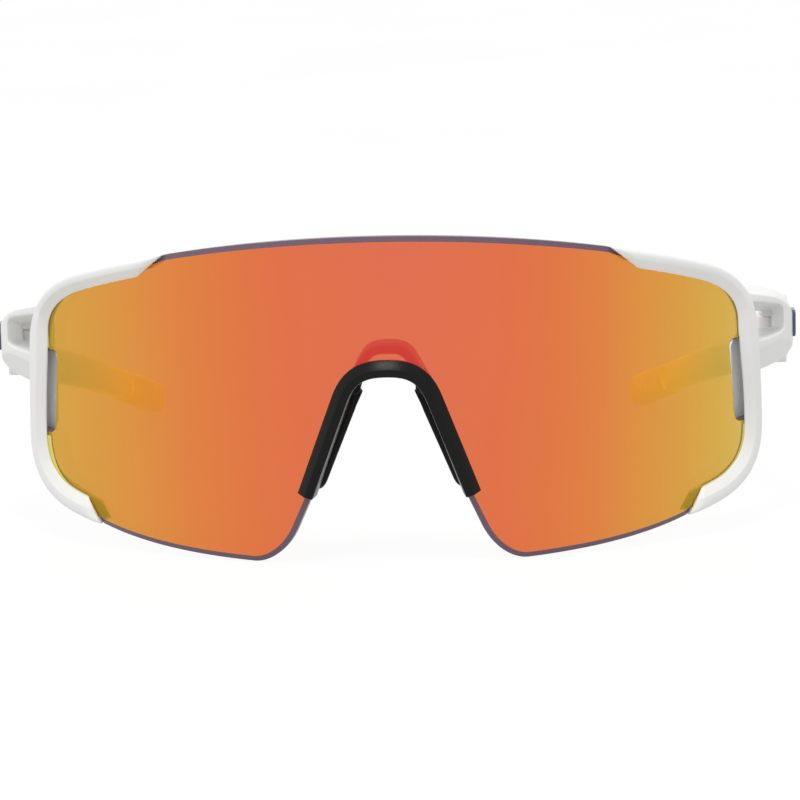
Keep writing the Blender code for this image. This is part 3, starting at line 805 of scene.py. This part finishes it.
def make_end_piece():
    """The open bracket between rim and hinge, softened like a moulding."""
    outline = [(66.4, 30.7), (71.4, 34.8), (73.6, 38.0), (74.1, 40.6), (74.1, 45.2), (73.4, 45.2)]
    outline += [(73.4, 43.0), (67.0, 43.0), (65.4, 39.0), (62.9, 34.4), (63.2, 32.3)]
    body = prism("end_piece_left", rounded(outline, 1.6, 3), -4.0, 15.0)
    front = [(58.0, 15.0), (66.0, 13.3), (70.9, 12.0), (73.0, 10.2), (74.2, 7.6)]
    front += [(74.2, 2.8), (73.6, 1.2), (72.2, -0.6), (68.1, -1.9), (58.0, -3.6)]
    front = rounded(front, 1.2, 4)
    profile = [[plan_point(x, y, z) for x, z in front] for y in (25.0, 50.0)]
    combine(body, loft("profile", profile), "INTERSECT")
    run = Vector((0.7, 0.7, 0.13)).normalized()
    below = (Vector((0.7, -0.7, 0.0)) * 0.82 + Vector((0.0, 0.0, -0.57))).normalized()
    across = run.cross(below).normalized()
    outward = across.cross(run)
    half = 6.0
    middle = Vector(plan_point(71.2, 34.7, 3.7)) + outward * half
    cut(body, slab("under", middle, run, across, outward, 20.0, 20.0, half))
    opening = rounded([(0.0, 0.0), (1.0, 0.0), (1.0, 1.0), (0.0, 1.0)], 0.2, 4)
    rings = [[window_point(u, v, share) for u, v in opening] for share in (-0.3, 1.0)]
    cut(body, loft("window", rings))
    side_way = [(66.9, 33.9), (67.75, 36.0), (70.2, 40.0), (70.2, 44.5), (64.2, 44.5)]
    side_way += [(64.5, 36.0), (65.9, 34.4)]
    cut(body, prism("side_way", side_way, 5.0, 8.5))
    low, low_top, _, _, high, high_top = HINGE_LEVELS
    for start, end in ((low + 0.2, low_top - 0.1), (high + 0.1, high_top - 0.2)):
        web = [(68.3, 41.0), (72.9, 41.0), (72.9, 45.4), (68.3, 45.4)]
        join(body, prism("web", web, start, end))
    soften(body, 0.2, 4)
    return cut(body, loft("recess", [badge_ring(-0.5, 0.0), badge_ring(2.0, 0.0)]))


def badge_ring(level, inset):
    """The badge's outline at a level above its seat, drawn in by an inset."""
    x, y, z = BADGE
    a, b = BADGE_HALF[0] - inset, BADGE_HALF[1] - inset
    corners = [(y - a, z - b), (y + a, z - b), (y + a, z + b), (y - a, z + b)]
    return [plan_point(x + level, u, v) for u, v in rounded(corners, BADGE_CORNER, 5)]


def make_badge():
    steps = ((-0.4, 0.1), (0.2, 0.1), (0.32, 0.2), (0.38, 0.45), (0.4, 1.2))
    return loft("badge_plate_left", [badge_ring(*step) for step in steps])


# ---- hinge hardware ----
def knuckle(name, low, high, head=False, socket=False):
    """A turned knuckle with a bore, and a pocket for the screw head or insert."""
    edge, tall, lead = 0.3, high - low, 0.15
    profile = [(KNUCKLE_R - edge, 0), (KNUCKLE_R, edge), (KNUCKLE_R, tall - edge), (KNUCKLE_R - edge, tall)]
    if head:
        pocket = 1.7
        profile += [(pocket + 0.1, tall), (pocket, tall - 0.1), (pocket, tall - 1.3), (BORE_R, tall - 1.3)]
    else:
        profile += [(BORE_R + lead, tall), (BORE_R, tall - lead)]
    if socket:
        pocket = 1.65
        profile += [(BORE_R, tall - 0.6), (pocket, tall - 0.6), (pocket, 0.1), (pocket + 0.1, 0)]
    else:
        profile += [(BORE_R, lead), (BORE_R + lead, 0)]
    return lathe(name, profile, plan_point(HINGE_X, HINGE_Y, low), 48)


def make_screw():
    top, bottom = HINGE_LEVELS[5] - 0.25, HINGE_LEVELS[0] + 0.6
    height = top - bottom
    centre, shank, head = 0.0001, 0.7, 1.5
    profile = [(centre, 0), (shank - 0.15, 0), (shank, 0.2), (shank, height - 1.0)]
    profile += [(head - 0.15, height - 1.0), (head, height - 0.85), (head, height - 0.3)]
    profile += [(head - 0.2, height - 0.08), (0.8, height), (centre, height)]
    screw = lathe("screw_left", profile, plan_point(HINGE_X, HINGE_Y, bottom), 40)
    ways = (Vector((0.8, 0.6, 0)), Vector((-0.6, 0.8, 0)), Vector((0, 0, 1)))
    return cut(screw, slab("slot", plan_point(HINGE_X, HINGE_Y, top), *ways, 2.0, 0.22, 0.45))


def make_insert():
    """A brass bush with a knurled outside."""
    low, high = HINGE_LEVELS[0] + 0.1, HINGE_LEVELS[1] - 0.8
    tall, end, edge, steps = high - low, 1.35, 0.25, 72
    rings = []
    foot = Vector(plan_point(HINGE_X, HINGE_Y, low))
    for i in range(steps):
        outer = 1.56 if i % 3 == 0 else 1.46
        profile = [(BORE_R, 0.1), (BORE_R + 0.1, 0), (end, 0), (outer, edge), (outer, tall - edge)]
        profile += [(end, tall), (BORE_R, tall)]
        rings.append([foot + polar(r, i / steps, h) for r, h in profile])
    return loft("insert_left", rings, closed=True)


# ---- temples ----
# rows of: distance back, inner face, thickness, bottom, top
TEMPLE = (
    (TEMPLE_START, 69.1, 5.4, -2.0, 9.9),
    (57.0, 67.7, 4.7, -4.4, 5.6),
    (66.0, 66.0, 4.2, -6.9, 0.3),
    (85.0, 61.9, 3.8, -11.5, -4.6),
    (104.0, 57.7, 3.6, -16.4, -10.1),
    (TIP_Y, 55.3, 3.6, -19.6, -13.6),
)
GRIP = (
    (TIP_Y + 0.6, 55.0, 4.0, -20.1, -13.6),
    (126.0, 53.1, 5.0, -22.5, -16.0),
    (140.0, 51.4, 5.4, -26.0, -19.3),
    (150.5, 50.6, 5.4, -28.6, -21.7),
    (155.8, 50.4, 5.2, -29.6, -22.9),
    (157.2, 50.7, 4.6, -29.1, -23.4),
)


def along(rows, y):
    """The section numbers at a distance back, by cubic interpolation."""
    last = len(rows) - 1
    k = 0
    while k < last - 1 and y > rows[k + 1][0]:
        k += 1
    a, b = rows[k], rows[k + 1]
    before, after = rows[max(k - 1, 0)], rows[min(k + 2, last)]
    span = b[0] - a[0]
    t = (y - a[0]) / span
    values = []
    for c in range(1, 5):
        m1 = (b[c] - before[c]) / max(b[0] - before[0], 0.01) * span
        m2 = (after[c] - a[c]) / max(after[0] - a[0], 0.01) * span
        h = (2 * t**3 - 3 * t**2 + 1, t**3 - 2 * t**2 + t, -2 * t**3 + 3 * t**2, t**3 - t**2)
        values.append(h[0] * a[c] + h[1] * m1 + h[2] * b[c] + h[3] * m2)
    return values


def oval(y, inner, thick, low, high, power, count, groove=0.0):
    """A rounded-rectangle section; groove pulls in its two flat sides."""
    cx, cz = inner + thick / 2, (low + high) / 2
    ring = []
    for u, v in round_square(count, 2 / power):
        x = u * thick / 2
        x -= copysign(groove * min(1.0, max(0.0, 1.25 - abs(v) * 1.3)), x)
        ring.append(plan_point(cx + x, y, cz + v * (high - low) / 2))
    return ring


def tip_axis():
    """The ear tip's joint: centre, axis, direction of the grip and radius."""
    y, inner, thick, low, high = TEMPLE[-1]
    centre = Vector(plan_point(inner + thick / 2, y, (low + high) / 2))
    run = Vector((-0.15, 1.0, -0.262)).normalized()
    across = run.cross(Vector((0, 0, 1))).normalized()
    return centre, across, run, (high - low) / 2 * 0.965


def make_temple():
    """The hard temple: hinge web and outer shell in front, slotted round end behind."""
    rings = []
    steps = 60
    for i in range(steps + 1):
        y = TEMPLE_START + (TIP_Y - TEMPLE_START) * i / steps
        rings.append(oval(y, *along(TEMPLE, y), 3.2, 32))
    temple = loft("temple_arm_left", rings)
    x, y = HINGE_X, HINGE_Y
    shell = [(73.45, y - 0.3), (74.2, y - 0.3), (74.2, y + 5.5), (72.8, y + 5.5)]
    join(temple, prism("shell", shell, 0.6, 7.6))
    web = [(x - 1.3, y), (74.0, y), (74.0, y + 5.0), (x - 1.3, y + 5.0)]
    join(temple, prism("web", web, HINGE_LEVELS[2] + 0.1, HINGE_LEVELS[3] - 0.1))
    centre, across, run, radius = tip_axis()
    reach = across * 1.7
    join(temple, solid_rod("round_end", centre - reach, centre + reach, radius, 0.3))
    cut(temple, slab("slot", centre - run * 0.6, run, across.cross(run), across, 5.5, 2.0, 0.95))
    return soften(temple, 0.26, 5)


def make_grip():
    """The grooved soft sleeve, with a seat for the temple's end and a hole for the wire."""
    first, last, steps = GRIP[0][0], GRIP[-1][0], 90
    grooves, grooves_end, pitch, deep = 123.0, 149.0, 3.2, 0.32
    rings = []
    for i in range(steps + 1):
        y = first + (last - first) * (i / steps)
        wave = 0.5 - 0.5 * cos(2 * pi * (y - grooves) / pitch)
        fade = max(0.0, min(1.0, (y - grooves) / 2.0, (grooves_end - y) / 2.0))
        rings.append(oval(y, *along(GRIP, y), 2.8, 40, deep * fade * wave**3))
    inner, thick, low, high = along(GRIP, last)
    rings.append(oval(last + 0.45, inner + thick * 0.2, thick * 0.6, low + 0.4, high - 0.4, 2.2, 40))
    grip = loft("grip_sleeve_left", rings)
    centre, across, run, radius = tip_axis()
    cut(grip, solid_rod("hollow", centre - across * 6, centre + across * 6, radius + 0.12, 0.1, 64))
    return cut(grip, solid_rod("hole", centre, centre + run * 29.0, 0.85))


def make_tip_wire():
    centre, _, run, _ = tip_axis()
    return solid_rod("tip_core_left", centre - run * 5.5, centre + run * 28.0, 0.6)


# ---- nosepiece ----
def clip_section():
    """Two flat facets that meet in a ridge along the band, and a channel for the lens edge."""
    rear = -LENS_THICK - SIT
    section = [(0.0, 0.75), (0.05, 1.0), (0.22, 1.17), (1.38, LIP_HEIGHT - 0.02)]
    section += [(1.46, LIP_HEIGHT), (1.54, LIP_HEIGHT - 0.06), (2.86, 0.36), (2.96, 0.24)]
    section += [(3.0, SIT), (1.1, SIT), (0.95, -SIT), (0.95, -LENS_THICK), (1.1, rear), (2.5, rear)]
    section += [(2.62, -2.3), (2.55, -3.3), (2.2, -3.6), (0.5, -3.6), (0.12, -3.4), (0.0, -3.0)]
    return section


def make_clip():
    """The black channel round the nose cut-out."""
    half = clip_path()
    path = [(-s, z) for s, z in reversed(half[1:])] + half
    ways = directions(path)
    rings = []
    for point, way in zip(path, ways):
        rings.append([lens_point(*beside(point, way, -across), out) for across, out in clip_section()])
    return bevelled(loft("clip_channel", rings), 0.22, 3, 65.0)


def make_bridge():
    """The saddle over the nose, behind the lens, with its two shoulders."""
    inner = bezier((0.0, 7.3), (2.6, 7.35), (3.0, 6.9), (4.5, 4.0), 12) + [(4.95, 3.0), (5.3, 2.0)]
    outer = bezier((0.0, 8.95), (4.0, 8.95), (4.6, 7.6), (6.2, 4.4), 12) + [(6.9, 3.2), (7.6, 2.0)]
    half = list(zip(inner, outer))
    pairs = [((-a[0], a[1]), (-b[0], b[1])) for a, b in reversed(half[1:])] + half
    section = [(0.3, 4.45), (0.12, 4.7), (0.0, 5.6), (0.0, 12.4), (0.08, 13.1), (0.25, 13.4), (0.5, 13.5)]
    section += [(0.75, 13.4), (0.92, 13.1), (1.0, 12.4), (1.0, 5.6), (0.88, 4.7), (0.7, 4.45)]
    rings = []
    for a, b in pairs:
        ring = []
        for share, y in section:
            ring.append(plan_point(a[0] + (b[0] - a[0]) * share, y, a[1] + (b[1] - a[1]) * share))
        rings.append(ring)
    bridge = loft("bridge_saddle", rings)
    for side in (-1, 1):
        x, z = side * PAD_TOP[0], PAD_TOP[1]
        cut(bridge, solid_rod("hollow", plan_point(x, 0.0, z), plan_point(x, 22.0, z), 1.55, 0.1, 40))
        pivot, down, back, inward = pad_frame(side)
        cut(bridge, slab("pocket", pivot - down * 1.6, down, back, inward, 2.6, 1.7, 0.85))
    return bevelled(bridge, 0.12, 2, 60.0)


def pad_frame(side):
    """A pad's pivot and its directions down the blade, back and toward the nose."""
    lean, flare = radians(PAD_LEAN), radians(PAD_FLARE)
    pivot = Vector(plan_point(side * PAD_TOP[0], PAD_BACK, PAD_TOP[1]))
    down = Vector((side * sin(lean), 0, -cos(lean)))
    outward = Vector((side * cos(lean), 0, sin(lean)))
    back = Vector((0, cos(flare), 0)) + outward * sin(flare)
    inner = Vector((0, sin(flare), 0)) - outward * cos(flare)
    return pivot, down, back, inner


def make_pad(side, name):
    """A soft ribbed blade with a round head on its pivot and a pocket for its strip."""
    pivot, down, back, inner = pad_frame(side)
    length, tail, steps = 20.0, 0.86, 64
    ribs_from, ribs_to, pitch, rib_height = 4.0, 16.0, 1.9, 0.13
    rings = []
    for i in range(steps + 1):
        t = i / steps
        u = 0.3 + length * t
        end = sqrt(max(0.0, 1 - ((t - tail) / (1 - tail)) ** 2)) if t > tail else 1.0
        start = 0.86 + 0.14 * min(1.0, t / 0.2)
        front, rear = -4.4 * end * start, (2.6 + 0.8 * min(1.0, t / 0.3)) * end * start
        half = 0.98 * (0.45 + 0.55 * end) + 0.26 * (1 - rise(t, 0.0, 0.16))
        ribs = 0.0
        if ribs_from < u < ribs_to:
            ribs = rib_height * (0.5 - 0.5 * cos(2 * pi * (u - ribs_from) / pitch)) ** 2
        ring = []
        for v, n in round_square(36, 0.62):
            depth = half - (ribs if n > 0 and abs(v) < 0.86 else 0.0)
            along_back = (rear + front) / 2 + v * max(0.05, (rear - front) / 2)
            ring.append(pivot + down * u + back * along_back + inner * n * depth)
        rings.append(ring)
    pad = loft(name, rings)
    ends = pivot - Vector((0, 4.6, 0)), pivot + Vector((0, 4.4, 0))
    join(pad, solid_rod("head", *ends, 1.3, 0.25, 40))
    return cut(pad, slab("pocket", pivot + down * 6.6, down, back, inner, 8.4, 1.2, 0.35))


def make_pad_wire(side, name):
    pivot, down, back, inner = pad_frame(side)
    return bevelled(slab(name, pivot + down * 6.2, down, back, inner, 8.0, 1.0, 0.2), 0.08, 2, 30.0)


# ---- assembly ----
SIDES = ((1, "left"), (-1, "right"))


def both_sides(ob):
    """A piece drawn for the wearer's left and its twin, each with its side."""
    mesh = ob.data.copy()
    mesh.transform(Matrix.Scale(-1, 4, (1, 0, 0)))
    mesh.flip_normals()
    twin = linked(ob.name.replace("_left", "_right"), mesh)
    return ((ob, *SIDES[0]), (twin, *SIDES[1]))


def build_front(white):
    """The lens and both side frames with their badges and hinge hardware."""
    lens_mats = [coating(), lens_edge(), inner_face()]
    place(make_lens(lens_mats), lens_mats, "front", "shield_lens")
    glow = margin("margin_yellow", ((0.2, (0.74, 0.62, 0.11)), (0.8, (0.80, 0.68, 0.14))))
    # painted shadow: a dark olive line that stands for shade beside the yellow margin
    line = margin("margin_line", ((0.2, (0.22, 0.15, 0.02)), (0.8, (0.28, 0.19, 0.03))))
    for side, word in SIDES:
        for ob in make_fringe(side, "coat_margin_" + word):
            place(shaded(ob, 40), [glow, line], "front", "shield_lens")
    navy = moulded("badge_navy_enamel", (0.012, 0.03, 0.085), 0.22, (0.05, 0.08, 0.16), coat=0.5)
    steel = metal("hinge_steel", (0.62, 0.62, 0.63), 0.26)
    brass = metal("hinge_brass", (0.72, 0.52, 0.22), 0.28)
    low, low_top, _, _, high, high_top = HINGE_LEVELS
    frame_parts = (
        (make_rim(), 38),
        (make_rear_tab(), 50),
        (make_end_piece(), 50),
        (knuckle("knuckle_low_left", low, low_top, socket=True), 40),
        (knuckle("knuckle_high_left", high, high_top, head=True), 40),
    )
    pieces = [(ob, crease, white, "side_frame", "frame_white") for ob, crease in frame_parts]
    pieces += [
        (make_badge(), 45, navy, "end_badge", "badge_navy"),
        (make_screw(), 40, steel, "hinge_screw", "screw_steel"),
        (make_insert(), 25, brass, "hinge_insert", "insert_brass"),
    ]
    for ob, crease, mat, node, slot in pieces:
        for piece, _, word in both_sides(shaded(ob, crease)):
            place(piece, [mat], "front", node + "_" + word)


def build_temples(white, wire):
    """Both temples with their ear grips and wires."""
    # painted light: the grip rubber and the straw end of the temple glow a little
    rubber = moulded("grip_soft_rubber", STRAW, 0.62, (0.95, 0.92, 0.45), SOFT_GRAIN, sheen=0.1, glow=0.3)
    fade = (*((FRONT_Y + y) * MM for y in FADE), STRAW)
    faded = moulded("temple_white_to_straw", WHITE, 0.36, WORN_WHITE, coat=0.1, glow=0.28, fade=fade)
    pieces = (
        (make_temple(), 60, faded, "temple", "temple", "frame_white"),
        (knuckle("temple_knuckle_left", *HINGE_LEVELS[2:4]), 40, white, "temple", "temple", "frame_white"),
        (make_grip(), 40, rubber, "ear_tip", "ear_grip", "grip_rubber"),
        (make_tip_wire(), 40, wire, "ear_tip", "tip_wire", "core_wire"),
    )
    for ob, crease, mat, body, node, slot in pieces:
        for piece, side, word in both_sides(shaded(ob, crease)):
            place(leaned(piece, side), [mat], word + "_" + body, node + "_" + word)


def build_nosepiece(wire):
    """The clip and the saddle, with both pads on their strips."""
    black = moulded("nose_satin_black", (0.009, 0.010, 0.009), 0.27, (0.012, 0.013, 0.012), gleam=0.1)
    dark, rubbed = (0.009, 0.009, 0.009), (0.014, 0.014, 0.014)
    soft = moulded("pad_soft_black", dark, 0.6, rubbed, PAD_GRAIN, sheen=0.02, gleam=0.12)
    place(shaded(make_clip(), 32), [black], "front", "nose_clip")
    place(shaded(make_bridge(), 40), [black], "front", "nose_bridge")
    for side, word in SIDES:
        body = word + "_nose_pad"
        pad, strip = make_pad(side, "pad_blade_" + word), make_pad_wire(side, "pad_strip_" + word)
        place(shaded(pad, 45), [soft], body, "nose_pad_" + word)
        place(shaded(strip, 40), [wire], body, "pad_wire_" + word)


# ---- stage ----
SKY = (1.12, 0.79)  # brightness on the wearer's right and left
CAMERA_TURN = 2.666
CAMERA_RISE = 10.1
CAMERA_ROLL = -1.415
CAMERA_RANGE = 0.700
FRAME_SIDE = 800.0
FRAME_SHIFT = 13.29
POINTS_PER_MM = 5.65  # points of the square frame per millimetre at the front of the lens
SENSOR = 36.0


def make_floor():
    """A pale floor that shows as white and lights the object a little less."""
    bm = bmesh.new()
    bmesh.ops.create_grid(bm, x_segments=8, y_segments=8, size=4.0)
    mesh = bpy.data.meshes.new("studio_floor")
    bm.to_mesh(mesh)
    bm.free()
    floor = linked("studio_floor", mesh)
    floor.location.z = -0.0001
    n = material("floor_pale")
    tint = n.ramp(n.noise(9.0, 2.0), ((0.3, (0.985, 0.985, 0.985)), (0.7, (1.0, 1.0, 1.0))))
    path = n.add("LightPath").outputs
    seen = n.math("MAXIMUM", path["Is Camera Ray"], path["Is Glossy Ray"])
    light = n.add("Emission", Color=tint, Strength=n.between(seen, 0.6, 0.92))
    matt = n.add("BsdfDiffuse", Color=(0.08, 0.08, 0.08, 1.0))
    mesh.materials.append(n.finish(n.add("AddShader", i0=light.outputs[0], i1=matt.outputs[0])))


def make_softbox():
    data = bpy.data.lights.new("top_softbox", "AREA")
    data.shape = "RECTANGLE"
    data.size, data.size_y = 0.3, 0.25
    data.energy = 4.2
    light = linked("top_softbox", data)
    light.location = (-0.05, -0.42, 1.2)
    light.rotation_euler = (-light.location).to_track_quat("-Z", "Y").to_euler()


def make_world():
    """An even white studio, a little brighter on the wearer's right."""
    n = Nodes(bpy.data.worlds.new("studio_white"))
    across, (right, left) = n.axis("X", output="Generated"), SKY
    level = n.add("MapRange", Value=across, From_Min=-1.0, To_Min=right, To_Max=left)
    background = n.add("Background", Color=(1.0, 1.0, 1.0, 1.0), Strength=level.outputs["Result"])
    bpy.context.scene.world = n.finish(background, "OutputWorld")
    bpy.context.scene.view_settings.view_transform = "Standard"


def make_camera():
    """A long lens slightly from the wearer's left and ten degrees up."""
    turn, rise, roll = (radians(v) for v in (CAMERA_TURN, CAMERA_RISE, CAMERA_ROLL))
    back = Vector((sin(turn) * cos(rise), -cos(turn) * cos(rise), sin(rise)))
    right = Vector((cos(turn), sin(turn), 0))
    up = back.cross(right)
    right, up = right * cos(roll) + up * sin(roll), up * cos(roll) - right * sin(roll)
    data = bpy.data.cameras.new("photo_camera")
    data.sensor_width = SENSOR
    data.lens = POINTS_PER_MM * CAMERA_RANGE / MM / FRAME_SIDE * SENSOR
    data.shift_x = FRAME_SHIFT / FRAME_SIDE
    data.clip_start, data.clip_end = 0.01, 50.0
    camera = linked("photo_camera", data)
    spot = Vector((0, FRONT_Y * MM, OPTIC_Z * MM)) + back * CAMERA_RANGE
    camera.matrix_world = Matrix.Translation(spot) @ Matrix((right, up, back)).transposed().to_4x4()
    bpy.context.scene.camera = camera


white_plastic = moulded("frame_white_plastic", WHITE, 0.36, WORN_WHITE, coat=0.1)
core_wire = metal("core_wire_steel", (0.5, 0.5, 0.52), 0.32)
build_front(white_plastic)
build_temples(white_plastic, core_wire)
build_nosepiece(core_wire)
make_floor()
make_world()
make_softbox()
make_camera()
